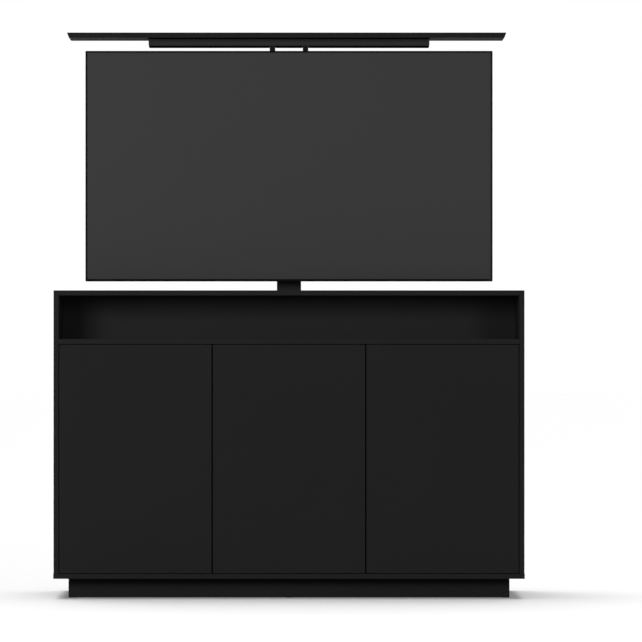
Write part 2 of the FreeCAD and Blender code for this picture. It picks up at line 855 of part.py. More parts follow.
def hanger_bracket():
    """An angle that hangs from the inner column's head, down in front of the column."""
    x = hanger_width / 2
    leg = box(-x, x, plate_back_y, plate_back_y + hanger_thickness, plate_foot, inner_top + hanger_thickness)
    arm = box(-x, x, plate_back_y, inner_back, inner_top, inner_top + hanger_thickness)
    bracket = leg.fuse(arm).removeSplitter()
    corner = edges_where(bracket, lambda b: b.ZMin > inner_top + hanger_thickness - near
                         and b.YMax < plate_back_y + near)
    bracket = bracket.makeFillet(hanger_round, corner)
    holes = [bolt_hole(point, V(0, 1, 0), plate_bolt_length) for point in plate_bolt_points()]
    holes += [bolt_hole(point, V(0, 0, -1), head_bolt_length) for point in head_bolt_points()]
    return bracket.cut(Part.makeCompound(holes))


def mount_bolts():
    bolts = [cap_bolt(point, V(0, 1, 0), plate_bolt_length) for point in plate_bolt_points()]
    bolts += [cap_bolt(point, V(0, 0, -1), head_bolt_length) for point in head_bolt_points()]
    return bolts + [cap_bolt(point, V(0, 0, 1), post_bolt_length) for point in post_bolt_points()]


# ---------------------------------------------------------------- lift column
def square_tube(half, front, back, foot, top):
    outer = box(-half, half, front, back, foot, top)
    outer = outer.makeFillet(tube_round, edges_where(outer, lambda b: b.ZLength > near))
    inside = half - tube_wall
    return outer.cut(box(-inside, inside, front + tube_wall, back - tube_wall, foot - past, top + past))


def outer_clamp_z():
    return outer_top - outer_clamp_drop


def belt_clamp(front, back, belt_face, z):
    """A block with a slot that the belt's run lies in; belt_face is the run's front face."""
    block = box(-clamp_width / 2, clamp_width / 2, front, back, z - clamp_height / 2, z + clamp_height / 2)
    half = belt_width / 2 + belt_slack
    slot = box(-half, half, belt_face - belt_slack, belt_face + belt_thickness + belt_slack,
               z - clamp_height, z + clamp_height)
    return block.cut(slot)


def outer_column():
    tube = square_tube(outer_half, outer_front, outer_back, base_top, outer_top)
    rear_run = belt_y + belt_radius
    clamp = belt_clamp(rear_run - belt_slack - clamp_wall, outer_wall_y, rear_run, outer_clamp_z())
    shaft_way = box(0, outer_half + past, screw_y - screw_radius, screw_y + screw_radius,
                    base_top + bearing_height / 2, base_top + bearing_height)
    return tube.fuse(clamp).cut(shaft_way)


def middle_column():
    tube = square_tube(middle_half, middle_front, middle_back, middle_foot, middle_top)
    plate = box(-middle_half + tube_wall, middle_half - tube_wall, middle_front + tube_wall, middle_wall_y,
                middle_foot, middle_foot + foot_plate)
    raised = outer_clamp_z() - clamp_height / 2 - slot_margin
    lowered = outer_clamp_z() + clamp_height / 2 + slot_margin + stage_travel
    slot = box(-slot_width / 2, slot_width / 2, middle_wall_y - past, middle_back + past, raised, lowered)
    nut_hole = rod(nut_radius, V(0, screw_y, middle_foot - past),
                   V(0, screw_y, middle_foot + foot_plate + past))
    return tube.fuse(plate).cut(slot).cut(nut_hole).removeSplitter()


def inner_column():
    tube = square_tube(inner_half, inner_front, inner_back, inner_foot, inner_top)
    inside = inner_half - tube_wall
    cap = box(-inside, inside, inner_front + tube_wall, inner_back - tube_wall,
              inner_top - head_cap, inner_top)
    front_run = belt_y - belt_radius - belt_thickness
    clamp = belt_clamp(inner_back, front_run + belt_thickness + belt_slack + clamp_wall, front_run,
                       inner_foot + inner_clamp_rise)
    holes = [bolt_hole(point, V(0, 0, -1), head_bolt_length) for point in head_bolt_points()]
    return tube.fuse(cap).fuse(clamp).cut(Part.makeCompound(holes)).removeSplitter()


def pads_outside(half, front, foot):
    """Pads on a tube's outside: two on the front and one on each side."""
    thick, top = stage_gap - pad_play, foot + pad_height
    side_y = front + side_pad_width
    pads = both_sides(box(half - pad_width - stage_gap, half - stage_gap, front - thick, front, foot, top))
    return pads + both_sides(box(half, half + thick, side_y - side_pad_width / 2, side_y + side_pad_width / 2,
                                 foot, top))


def pads_inside(half, front, top):
    """Pads on a tube's inner walls at its mouth: two on the front and one on each side."""
    thick = stage_gap - pad_play
    side_y = front + tube_wall + stage_gap + side_pad_width
    wall = half - tube_wall
    foot = top - pad_height
    pads = both_sides(box(wall - pad_width - 2 * stage_gap, wall - 2 * stage_gap, front + tube_wall,
                          front + tube_wall + thick, foot, top))
    return pads + both_sides(box(wall - thick, wall, side_y - side_pad_width / 2, side_y + side_pad_width / 2,
                                 foot, top))


def rear_pads(front, back, foot):
    """Two pads in the rear gap, either side of the middle column's slot."""
    x = slot_width / 2 + stage_gap
    return both_sides(box(x, x + side_pad_width, front, back, foot, foot + pad_height))


def outer_glides():
    pads = pads_inside(outer_half, outer_front, outer_top)
    return pads + rear_pads(middle_back + pad_play, outer_wall_y, outer_top - pad_height)


def middle_glides():
    low = middle_foot + stage_step / 2
    pads = pads_outside(middle_half, middle_front, low)
    pads += rear_pads(middle_back, outer_wall_y - pad_play, low)
    pads += pads_inside(middle_half, middle_front, middle_top)
    return pads + rear_pads(inner_back + pad_play, middle_wall_y, middle_top - pad_height)


def inner_glides():
    low = inner_foot + stage_gap
    pads = pads_outside(inner_half, inner_front, low)
    return pads + rear_pads(inner_back, middle_wall_y - pad_play, low)


def base_bolt_points():
    x, middle = base_width / 2 - bolt_inset, (outer_front + outer_back) / 2
    reach = base_depth / 2 - bolt_inset
    return [V(side * x, middle + way * reach, base_top) for side in (-1, 1) for way in (-1, 1)]


def lift_base():
    middle, x = (outer_front + outer_back) / 2, base_width / 2
    plate = box(-x, x, middle - base_depth / 2, middle + base_depth / 2, floor_z, base_top)
    plate = plate.makeFillet(bolt_head_radius, edges_where(plate, lambda b: b.ZLength > near))
    seat_point, ring_top = V(0, screw_y, base_top), V(0, screw_y, base_top + bearing_height)
    ring = rod(bearing_radius, seat_point, ring_top)
    ring_bore = rod(screw_radius + running, seat_point, ring_top.add(V(0, 0, past)))
    holes = [bolt_hole(point, V(0, 0, -1), base_bolt_length) for point in base_bolt_points()]
    return plate.fuse(ring).cut(ring_bore).cut(Part.makeCompound(holes))


def bracket_bolt_points():
    x = (bracket_half + bracket_web_half) / 2
    rows = (bracket_foot + bolt_inset, bracket_foot + bracket_height - bolt_inset)
    return [V(side * x, batten_front_y - bracket_wall, z) for side in (-1, 1) for z in rows]


def column_bracket():
    """A folded hat bracket between the outer column and the lift rail."""
    top = bracket_foot + bracket_height
    web = box(-bracket_web_half, bracket_web_half, outer_back, outer_back + bracket_wall, bracket_foot, top)
    hat = web
    for side in both_sides(box(bracket_web_half - bracket_wall, bracket_web_half, outer_back, batten_front_y,
                               bracket_foot, top)):
        hat = hat.fuse(side)
    for side in both_sides(box(bracket_web_half - bracket_wall, bracket_half, batten_front_y - bracket_wall,
                               batten_front_y, bracket_foot, top)):
        hat = hat.fuse(side)
    holes = [bolt_hole(point, V(0, 1, 0), bracket_bolt_length) for point in bracket_bolt_points()]
    return hat.removeSplitter().cut(Part.makeCompound(holes))


def lift_bolts():
    bolts = [cap_bolt(point, V(0, 0, -1), base_bolt_length) for point in base_bolt_points()]
    return bolts + [cap_bolt(point, V(0, 1, 0), bracket_bolt_length) for point in bracket_bolt_points()]


def gear_motor():
    """A worm gearbox on the column's side with the motor lying beside it."""
    z = base_top + gearbox_height / 2
    x = outer_half + gearbox_width
    gearbox = box(outer_half, x, screw_y - gearbox_depth / 2, screw_y + gearbox_depth / 2, base_top,
                  base_top + gearbox_height)
    gearbox = gearbox.makeFillet(gearbox_round, edges_where(gearbox, lambda b: b.XMin > x - near))
    can_end = V(x + motor_length, screw_y, z)
    can = rod(motor_radius, V(x, screw_y, z), can_end)
    cap = rod(motor_radius - motor_cap_step, can_end, can_end.add(V(motor_end_cap, 0, 0)))
    return gearbox.fuse(can).fuse(cap)


def lead_screw():
    foot, head = V(0, screw_y, base_top), V(0, screw_y, outer_top - screw_below_top)
    screw = rod(screw_radius, foot, head)
    return screw.makeChamfer(screw_chamfer, edges_where(screw, lambda b: b.ZMin > head.z - near))


def drive_nut():
    flange = rod(nut_flange_radius, V(0, screw_y, middle_foot - nut_flange), V(0, screw_y, middle_foot))
    body = rod(nut_radius - fit, V(0, screw_y, middle_foot), V(0, screw_y, middle_foot + foot_plate))
    bore = rod(screw_radius + running, V(0, screw_y, middle_foot - nut_flange - past),
               V(0, screw_y, middle_foot + foot_plate + past))
    return flange.fuse(body).cut(bore)


def belt_loop(radius):
    """A solid racetrack about both pulleys."""
    half = belt_width / 2
    loop = box(-half, half, belt_y - radius, belt_y + radius, lower_pulley_z, upper_pulley_z)
    for z in (lower_pulley_z, upper_pulley_z):
        loop = loop.fuse(rod(radius, V(-half, belt_y, z), V(half, belt_y, z)))
    return loop


def drive_belt():
    return belt_loop(belt_radius + belt_thickness).cut(belt_loop(belt_radius)).removeSplitter()


def belt_pulley(z):
    half = belt_width / 2
    wheel = rod(pulley_radius, V(-half, belt_y, z), V(half, belt_y, z))
    return wheel.cut(rod(axle_radius + running, V(-half - past, belt_y, z), V(half + past, belt_y, z)))


def pulley_brackets():
    pieces = []
    for z in (lower_pulley_z, upper_pulley_z):
        far = ear_gap + ear_thickness
        ear = box(ear_gap, far, belt_y - pulley_radius, middle_wall_y, z - ear_height / 2, z + ear_height / 2)
        ear = ear.cut(rod(axle_radius + fit, V(0, belt_y, z), V(far + past, belt_y, z)))
        pieces += both_sides(ear) + [rod(axle_radius, V(-far, belt_y, z), V(far, belt_y, z))]
    return pieces


def control_box():
    """The control unit, on the lift rail's front face, with a two-pin mains inlet in its lower side."""
    x, foot = -control_side, bracket_foot
    left, right = x - control_width / 2, x + control_width / 2
    case = box(left, right, batten_front_y - control_depth, batten_front_y, foot, foot + control_height)
    front_edges = edges_where(case, lambda b: b.YMax < batten_front_y - near)
    case = case.makeFillet(control_round, front_edges)
    middle_y, inlet_end = batten_front_y - control_depth / 2, foot + inlet_depth
    case = case.cut(box(x - inlet_width / 2, x + inlet_width / 2, middle_y - inlet_height / 2,
                        middle_y + inlet_height / 2, foot - past, inlet_end))
    for pin_x in (x - inlet_width / 4, x + inlet_width / 4):
        case = case.fuse(rod(inlet_pin_radius, V(pin_x, middle_y, inlet_end + past),
                             V(pin_x, middle_y, inlet_end - inlet_pin_length)))
    return case


# ---------------------------------------------------------------- all nodes
def build():
    save("top_panel", top_panel())
    save("left_side_panel", side_panel(-1))
    save("right_side_panel", side_panel(1))
    save("bottom_panel", bottom_panel())
    save("niche_shelf", niche_shelf())
    save("niche_back", niche_back())
    save("compartment_back", compartment_back())
    save("dividers", *dividers())
    save("rear_panel", rear_panel())
    save("rear_battens", *rear_battens())
    save("rear_screws", *rear_screws())
    save("side_dowels", *side_dowels())
    save("plinth_front", plinth_front())
    save("plinth_rear", plinth_rear())
    save("plinth_sides", *plinth_sides())
    save("plinth_braces", *plinth_braces())
    save("floor_glides", *floor_glides())
    save("loose_shelves", *loose_shelves())
    save("shelf_pins", *shelf_pins())
    save("cable_grommets", *cable_grommets())
    save("door_pivots", *door_pivots())
    save("latch_bodies", *latch_bodies())
    for name in door_spans():
        save(name + "_door", door(name))
        save(name + "_door_bushes", *door_bushes(name))
        save(name + "_latch_plunger", latch_plunger(name))
    save("lift_base", lift_base())
    save("lift_bolts", *lift_bolts())
    save("gear_motor", gear_motor())
    save("control_box", control_box())
    save("column_bracket", column_bracket())
    save("outer_column", outer_column())
    save("outer_glides", *outer_glides())
    save("lead_screw", lead_screw())
    save("middle_column", middle_column())
    save("middle_glides", *middle_glides())
    save("drive_nut", drive_nut())
    save("drive_belt", drive_belt())
    save("pulley_brackets", *pulley_brackets())
    save("upper_pulley", belt_pulley(upper_pulley_z))
    save("lower_pulley", belt_pulley(lower_pulley_z))
    save("inner_column", inner_column())
    save("inner_glides", *inner_glides())
    save("hanger_bracket", hanger_bracket())
    save("mount_plate", mount_plate())
    save("mount_bolts", *mount_bolts())
    save("mount_rails", *mount_rails())
    save("rail_bolts", *rail_bolts())
    save("tv_bezel", tv_bezel())
    save("tv_screen", tv_screen())
    save("tv_back_cover", tv_back_cover())
    save("lid_posts", *lid_posts())
    save("lid_batten", lid_batten())
    save("lid_panel", lid_panel())
    save("lid_screws", *lid_screw_shapes())


os.makedirs("parts", exist_ok=True)
build()
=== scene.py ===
import json
import math

import bmesh
import bpy
from mathutils import Matrix, Vector


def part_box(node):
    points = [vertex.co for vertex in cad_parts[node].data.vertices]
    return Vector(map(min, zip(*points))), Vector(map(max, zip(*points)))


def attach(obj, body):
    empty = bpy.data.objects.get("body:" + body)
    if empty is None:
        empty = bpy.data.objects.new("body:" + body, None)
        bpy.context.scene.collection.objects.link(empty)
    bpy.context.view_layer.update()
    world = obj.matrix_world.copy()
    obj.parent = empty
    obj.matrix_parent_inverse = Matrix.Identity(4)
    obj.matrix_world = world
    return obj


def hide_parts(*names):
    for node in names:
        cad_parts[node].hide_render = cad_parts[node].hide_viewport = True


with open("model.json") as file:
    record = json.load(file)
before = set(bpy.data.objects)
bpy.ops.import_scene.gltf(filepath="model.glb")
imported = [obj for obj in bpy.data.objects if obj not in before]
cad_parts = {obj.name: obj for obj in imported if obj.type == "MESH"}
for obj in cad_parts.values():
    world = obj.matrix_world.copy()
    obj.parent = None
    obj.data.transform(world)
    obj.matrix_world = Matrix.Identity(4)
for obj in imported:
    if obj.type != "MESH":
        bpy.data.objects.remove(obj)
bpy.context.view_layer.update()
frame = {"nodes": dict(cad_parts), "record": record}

# ---------------------------------------------------------------- camera
IMAGE_WIDTH = 642
FRONT_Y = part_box("bottom_panel")[0].y
EYE_DISTANCE = 13.0          # in front of the doors
EYE_HEIGHT = 0.793
PIXEL_SIZE = 0.003185        # at the plane of the doors
PRINCIPAL_X = 289.0          # the pixel that the camera looks straight at
PRINCIPAL_Y = 350.0
SENSOR = 36.0
CLIP_END = 100.0             # past the edge of the floor

camera_data = bpy.data.cameras.new("camera")
camera_data.sensor_width = SENSOR
camera_data.lens = EYE_DISTANCE / PIXEL_SIZE * SENSOR / IMAGE_WIDTH
camera_data.shift_x = (IMAGE_WIDTH / 2 - PRINCIPAL_X) / IMAGE_WIDTH
camera_data.shift_y = (PRINCIPAL_Y - IMAGE_WIDTH / 2) / IMAGE_WIDTH
camera_data.clip_end = CLIP_END
camera = bpy.data.objects.new("camera", camera_data)
camera.location = (0.0, FRONT_Y - EYE_DISTANCE, EYE_HEIGHT)
camera.rotation_euler = (math.pi / 2, 0.0, 0.0)
bpy.context.collection.objects.link(camera)
bpy.context.scene.camera = camera
bpy.context.scene.view_settings.view_transform = "Standard"


# ---------------------------------------------------------------- node helpers
def new_material(name):
    """A material with an empty tree, and its Principled shader."""
    material = bpy.data.materials.new(name)
    material.use_nodes = True
    tree = material.node_tree
    tree.nodes.clear()
    output = tree.nodes.new("ShaderNodeOutputMaterial")
    shader = tree.nodes.new("ShaderNodeBsdfPrincipled")
    tree.links.new(shader.outputs["BSDF"], output.inputs["Surface"])
    return material, shader


def set_inputs(node, **values):
    """Set a node's inputs by name, with an underline for each space."""
    for name, value in values.items():
        node.inputs[name.replace("_", " ")].default_value = value


def flat(level, tint=(1.0, 1.0, 1.0)):
    """A colour from a grey level and a tint."""
    return (level * tint[0], level * tint[1], level * tint[2], 1.0)


COLOUR_A, COLOUR_B, COLOUR_OUT = 6, 7, 2   # a Mix node's sockets when it mixes colours
GRAIN_DETAIL = 2.0
CLOUD_DETAIL = 4.0
GRAIN_HEIGHT = 0.0002        # in metres, at a bump of 1
NOISE_MIDDLE = 0.5


def fine_texture_group():
    """Fine moulded or laminated texture: a grey variation, a roughness variation and a bumped normal."""
    group = bpy.data.node_groups.new("fine_texture", "ShaderNodeTree")
    face = group.interface
    for name in ("Grain Scale", "Bump", "Speckle", "Cloud Scale", "Shade Spread", "Roughness",
                 "Roughness Spread"):
        face.new_socket(name=name, in_out="INPUT", socket_type="NodeSocketFloat")
    face.new_socket(name="Shade", in_out="OUTPUT", socket_type="NodeSocketFloat")
    face.new_socket(name="Roughness", in_out="OUTPUT", socket_type="NodeSocketFloat")
    face.new_socket(name="Normal", in_out="OUTPUT", socket_type="NodeSocketVector")
    nodes, link = group.nodes, group.links.new
    inside, outside = nodes.new("NodeGroupInput"), nodes.new("NodeGroupOutput")
    place = nodes.new("ShaderNodeTexCoord")
    grain = nodes.new("ShaderNodeTexNoise")
    grain.inputs["Detail"].default_value = GRAIN_DETAIL
    link(place.outputs["Object"], grain.inputs["Vector"])
    link(inside.outputs["Grain Scale"], grain.inputs["Scale"])
    cloud = nodes.new("ShaderNodeTexNoise")
    cloud.inputs["Detail"].default_value = CLOUD_DETAIL
    link(place.outputs["Object"], cloud.inputs["Vector"])
    link(inside.outputs["Cloud Scale"], cloud.inputs["Scale"])
    bump = nodes.new("ShaderNodeBump")
    bump.inputs["Distance"].default_value = GRAIN_HEIGHT
    link(inside.outputs["Bump"], bump.inputs["Strength"])
    link(grain.outputs["Fac"], bump.inputs["Height"])
    link(bump.outputs["Normal"], outside.inputs["Normal"])

    def spread(noise, middle, width):
        """A middle value that the noise moves up and down by half a width."""
        centred = nodes.new("ShaderNodeMath")
        centred.operation = "SUBTRACT"
        link(noise.outputs["Fac"], centred.inputs[0])
        centred.inputs[1].default_value = NOISE_MIDDLE
        scaled = nodes.new("ShaderNodeMath")
        scaled.operation = "MULTIPLY_ADD"
        link(centred.outputs[0], scaled.inputs[0])
        link(width, scaled.inputs[1])
        if isinstance(middle, float):
            scaled.inputs[2].default_value = middle
        else:
            link(middle, scaled.inputs[2])
        return scaled.outputs[0]

    broad = spread(cloud, 1.0, inside.outputs["Shade Spread"])
    link(spread(grain, broad, inside.outputs["Speckle"]), outside.inputs["Shade"])
    rough = spread(grain, inside.outputs["Roughness"], inside.outputs["Roughness Spread"])
    link(rough, outside.inputs["Roughness"])
    return group


FINE_TEXTURE = fine_texture_group()


def textured(name, level, tint=(1.0, 1.0, 1.0), metallic=0.0, specular=0.5, **texture):
    """A surface of one colour with fine texture and slight variation."""
    material, shader = new_material(name)
    nodes, link = material.node_tree.nodes, material.node_tree.links.new
    group = nodes.new("ShaderNodeGroup")
    group.node_tree = FINE_TEXTURE
    set_inputs(group, **texture)
    colour = nodes.new("ShaderNodeMix")
    colour.data_type = "RGBA"
    colour.blend_type = "MULTIPLY"
    colour.inputs["Factor"].default_value = 1.0
    colour.inputs[COLOUR_A].default_value = flat(level, tint)
    link(group.outputs["Shade"], colour.inputs[COLOUR_B])
    link(colour.outputs[COLOUR_OUT], shader.inputs["Base Color"])
    link(group.outputs["Roughness"], shader.inputs["Roughness"])
    link(group.outputs["Normal"], shader.inputs["Normal"])
    set_inputs(shader, Metallic=metallic, Specular_IOR_Level=specular)
    return material


BOARD_TEXTURE = {"Grain_Scale": 900.0, "Bump": 0.6, "Speckle": 0.5, "Cloud_Scale": 2.2, "Shade_Spread": 0.2,
                 "Roughness": 0.7, "Roughness_Spread": 0.15}
COATING_TEXTURE = {"Grain_Scale": 650.0, "Bump": 0.8, "Speckle": 0.35, "Cloud_Scale": 6.0,
                   "Shade_Spread": 0.2, "Roughness": 0.5, "Roughness_Spread": 0.2}
MATERIALS = {
    "black_board": textured("black_laminate", 0.0102, specular=0.03, **BOARD_TEXTURE),
    # a lighter copy of the black laminate for the niche's back: painted light that makes up for the light the
    # niche keeps out
    "niche_board_painted_light": textured("niche_laminate_painted_light", 0.0136, specular=0.02, **BOARD_TEXTURE),
    # a lighter copy of the black laminate for the batten: painted light on the face that the lid's overhang
    # shades
    "strip_painted_light": textured("batten_laminate_painted_light", 0.0225, specular=0.03, **BOARD_TEXTURE),
    "black_steel": textured("black_powder_coat", 0.006, specular=0.06, **COATING_TEXTURE),
    # a lighter copy of the black powder coat for the lift columns: painted light on the column that sits in
    # shade below the television
    "column_coat_painted_light": textured("column_powder_coat_painted_light", 0.0125, specular=0.06, **COATING_TEXTURE),
    "bright_steel": textured(
        "zinc_plate", 0.42, (1.0, 1.0, 1.03), metallic=1.0, Grain_Scale=900.0, Bump=0.25, Speckle=0.3,
        Cloud_Scale=160.0, Shade_Spread=0.5, Roughness=0.38, Roughness_Spread=0.3),
    "nickel": textured(
        "nickel_shell", 0.55, (1.0, 0.98, 0.94), metallic=1.0, Grain_Scale=400.0, Bump=0.05, Speckle=0.1,
        Cloud_Scale=60.0, Shade_Spread=0.15, Roughness=0.28, Roughness_Spread=0.15),
    "nylon": textured(
        "nylon", 0.5, (1.0, 0.99, 0.94), specular=0.35, Grain_Scale=900.0, Bump=0.4, Speckle=0.1,
        Cloud_Scale=30.0, Shade_Spread=0.15, Roughness=0.5, Roughness_Spread=0.15),
    "black_plastic": textured(
        "black_moulding", 0.012, specular=0.3, Grain_Scale=1100.0, Bump=1.0, Speckle=0.3,
        Cloud_Scale=4.0, Shade_Spread=0.2, Roughness=0.55, Roughness_Spread=0.2),
    "tv_frame": textured(
        "black_anodised", 0.002, specular=0.04, Grain_Scale=900.0, Bump=0.2, Speckle=0.4,
        Cloud_Scale=4.0, Shade_Spread=0.2, Roughness=0.35, Roughness_Spread=0.1),
    "tv_panel": textured(
        "matt_screen", 0.0226, specular=0.15, Grain_Scale=1500.0, Bump=0.03, Speckle=0.05,
        Cloud_Scale=1.0, Shade_Spread=0.08, Roughness=0.4, Roughness_Spread=0.03),
    "rubber": textured(
        "rubber", 0.012, specular=0.3, Grain_Scale=600.0, Bump=0.5, Speckle=0.3,
        Cloud_Scale=20.0, Shade_Spread=0.2, Roughness=0.7, Roughness_Spread=0.1),
    "bronze": textured(
        "bronze", 0.5, (1.0, 0.72, 0.38), metallic=1.0, Grain_Scale=300.0, Bump=0.1, Speckle=0.2,
        Cloud_Scale=50.0, Shade_Spread=0.3, Roughness=0.35, Roughness_Spread=0.2),
    "felt": textured(
        "felt", 0.03, specular=0.1, Grain_Scale=1200.0, Bump=1.0, Speckle=0.8,
        Cloud_Scale=60.0, Shade_Spread=0.4, Roughness=0.95, Roughness_Spread=0.05),
    # near-black and matt, with no reflection: painted shade on the sheets under the lid's front and under the
    # batten
    "shade_sheet": textured(
        "painted_shade_sheet", 0.0015, specular=0.0, Grain_Scale=1500.0, Bump=1.0, Speckle=0.8,
        Cloud_Scale=80.0, Shade_Spread=0.6, Roughness=0.95, Roughness_Spread=0.05),
    "beech": textured(
        "beech", 0.45, (1.0, 0.72, 0.48), specular=0.3, Grain_Scale=400.0, Bump=0.3, Speckle=0.3,
        Cloud_Scale=60.0, Shade_Spread=0.3, Roughness=0.6, Roughness_Spread=0.1),
}
# nodes that look other than their material in the record; the niche back, the batten and the columns take
# lighter copies of their material, which are painted light
OWN_FINISH = {
    "niche_back": "niche_board_painted_light", "lid_batten": "strip_painted_light",
    "outer_column": "column_coat_painted_light", "middle_column": "column_coat_painted_light", "inner_column": "column_coat_painted_light",
    "left_door_bushes": "black_plastic", "centre_door_bushes": "black_plastic",
    "right_door_bushes": "black_plastic",
}

for subpart in frame["record"]["subparts"]:
    node = frame["nodes"][subpart["node"]]
    node.data.materials.clear()
    node.data.materials.append(MATERIALS[OWN_FINISH.get(subpart["node"], subpart["material_slot"])])

# ---------------------------------------------------------------- small parts, in metres
MM = 0.001
SAME = 0.001 * MM            # heights nearer than this are one
WELD = 0.01 * MM             # points nearer than this become one


def corners(node):
    """Left, right, front, back, foot and head of a CAD piece."""
    low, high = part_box(node)
    return low.x, high.x, low.y, high.y, low.z, high.z


def keep(form, name, material, body, *replaced):
    """Make a finished form a piece of one material that rides on a body."""
    bmesh.ops.remove_doubles(form, verts=form.verts, dist=WELD)
    bmesh.ops.recalc_face_normals(form, faces=form.faces)
    mesh = bpy.data.meshes.new(name)
    form.to_mesh(mesh)
    form.free()
    mesh.materials.append(MATERIALS[material])
    piece = bpy.data.objects.new(name, mesh)
    bpy.context.collection.objects.link(piece)
    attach(piece, body)
    if replaced:
        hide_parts(*replaced)


def block(form, x0, x1, y0, y1, z0, z1, round_off):
    """A block between two corners, with all its edges rounded off."""
    made = bmesh.ops.create_cube(form, size=1.0)["verts"]
    bmesh.ops.scale(form, verts=made, vec=(x1 - x0, y1 - y0, z1 - z0))
    bmesh.ops.translate(form, verts=made, vec=((x0 + x1) / 2, (y0 + y1) / 2, (z0 + z1) / 2))
    edges = list({edge for vert in made for edge in vert.link_edges})
    bmesh.ops.bevel(form, geom=edges, offset=round_off, segments=2, profile=0.5, affect="EDGES", material=-1)


BACKWARDS = Vector((0.0, 1.0, 0.0))
FORWARDS = Vector((0.0, -1.0, 0.0))
SIDEWAYS = Vector((1.0, 0.0, 0.0))
UPWARDS = Vector((0.0, 0.0, 1.0))


def add(whole, form, point, way, turn=0.0, keep_form=False):
    """Put a form that was made about the origin, facing +Z, at a point of the whole, facing some way."""
    mesh = bpy.data.meshes.new("passing")
    form.to_mesh(mesh)
    if not keep_form:
        form.free()
    mesh.transform(Matrix.Translation(point) @ way.to_track_quat("Z", "Y").to_matrix().to_4x4()
                   @ Matrix.Rotation(turn, 4, "Z"))
    whole.from_mesh(mesh)
    bpy.data.meshes.remove(mesh)


# ---------------------------------------------------------------- near-black sheets that paint shade under the lid and its batten
SHADE_SHEET_THICKNESS = 1.5 * MM
SHADE_SHEET_INSET = 0.5 * MM
SHADE_SHEET_ROUND = 0.3 * MM
SHADE_SHEET_POST_ROOM = 1.0 * MM
POST_WIDTH = 18.0 * MM
LID_EDGE = 6.0 * MM          # the lid's sloping front edge, left bare
LID_SHADE_SHEET_DEPTH = 40.0 * MM


def lid_shade_sheets():
    """Near-black strips that paint shade: under the batten, beside and between the posts, and a wide one
    under the lid's front.
    """
    left, right, front, back, foot, _ = corners("lid_batten")
    post_left, post_right = corners("lid_posts")[:2]
    form = bmesh.new()
    runs = ((left + SHADE_SHEET_INSET, post_left - SHADE_SHEET_POST_ROOM),
            (post_left + POST_WIDTH + SHADE_SHEET_POST_ROOM, post_right - POST_WIDTH - SHADE_SHEET_POST_ROOM),
            (post_right + SHADE_SHEET_POST_ROOM, right - SHADE_SHEET_INSET))
    for start, end in runs:
        block(form, start, end, front + SHADE_SHEET_INSET, back - SHADE_SHEET_INSET, foot - SHADE_SHEET_THICKNESS, foot,
              SHADE_SHEET_ROUND)
    lid_front, _, lid_foot = corners("lid_panel")[2:5]
    strip_front = lid_front + LID_EDGE
    block(form, left + SHADE_SHEET_INSET, right - SHADE_SHEET_INSET, strip_front, strip_front + LID_SHADE_SHEET_DEPTH,
          lid_foot - SHADE_SHEET_THICKNESS, lid_foot, SHADE_SHEET_ROUND)
    # these dark sheets stand where there is only shade under the lid and the batten
    keep(form, "lid_shade_sheets", "shade_sheet", "tv_carriage")


lid_shade_sheets()

# ---------------------------------------------------------------- cross-recess screws
ROUND_STEPS = 24             # the sides of everything that is turned
SCREW_TURN = 0.7             # each screw stops this much further round than the last
TIP_CHAMFER = 0.5 * MM
POINT_LENGTH = 2.0           # of a sharp point, in radii of the shank
HEAD_EDGE = 0.25 * MM
DOME = ((0.6, 1.0), (0.85, 0.75), (1.0, 0.35), (1.0, 0.0))   # shares of the head's radius and height
RECESS_REACH = 0.55          # shares of the head's radius
RECESS_HALF_WIDTH = 0.11
RECESS_DEPTH = 0.35
RECESS_TAPER = 0.55          # the recess's foot against its mouth


def cross_outline(form, reach, half_width, height):
    """The outline of a cross as a loop of edges in a level plane."""
    points = []
    for quarter in range(4):
        turn = Matrix.Rotation(quarter * math.pi / 2, 3, "Z")
        for x, y in ((reach, -half_width), (reach, half_width), (half_width, half_width)):
            points.append(form.verts.new(turn @ Vector((x, y, height))))
    return [form.edges.new((points[i - 1], points[i])) for i in range(len(points))]


def recess(form, rim, reach, half_width, top, depth):
    """Close a round rim of edges with a face that has a tapered cross recess."""
    cross = cross_outline(form, reach, half_width, top)
    bmesh.ops.triangle_fill(form, edges=rim + cross, use_beauty=True, normal=(0.0, 0.0, 1.0))
    walls = bmesh.ops.extrude_edge_only(form, edges=cross)["geom"]
    low = [item for item in walls if isinstance(item, bmesh.types.BMVert)]
    bmesh.ops.translate(form, verts=low, vec=(0.0, 0.0, -depth))
    bmesh.ops.scale(form, verts=low, vec=(RECESS_TAPER, RECESS_TAPER, 1.0))
    bmesh.ops.contextual_create(form, geom=[item for item in walls if isinstance(item, bmesh.types.BMEdge)
                                            and all(vert in low for vert in item.verts)])


def turned(form, profile):
    """Spin a profile of (radius, height) about Z; returns the rim of edges at its first point."""
    verts = [form.verts.new((radius, 0.0, height)) for radius, height in profile]
    edges = [form.edges.new(pair) for pair in zip(verts, verts[1:])]
    bmesh.ops.spin(form, geom=verts + edges, cent=(0.0, 0.0, 0.0), axis=(0.0, 0.0, 1.0), angle=2 * math.pi,
                   steps=ROUND_STEPS, use_merge=True)
    bmesh.ops.remove_doubles(form, verts=form.verts, dist=SAME)
    radius, height = profile[0]
    return [edge for edge in form.edges if edge.is_boundary
            and all(abs(vert.co.z - height) < SAME and abs(vert.co.xy.length - radius) < WELD
                    for vert in edge.verts)]


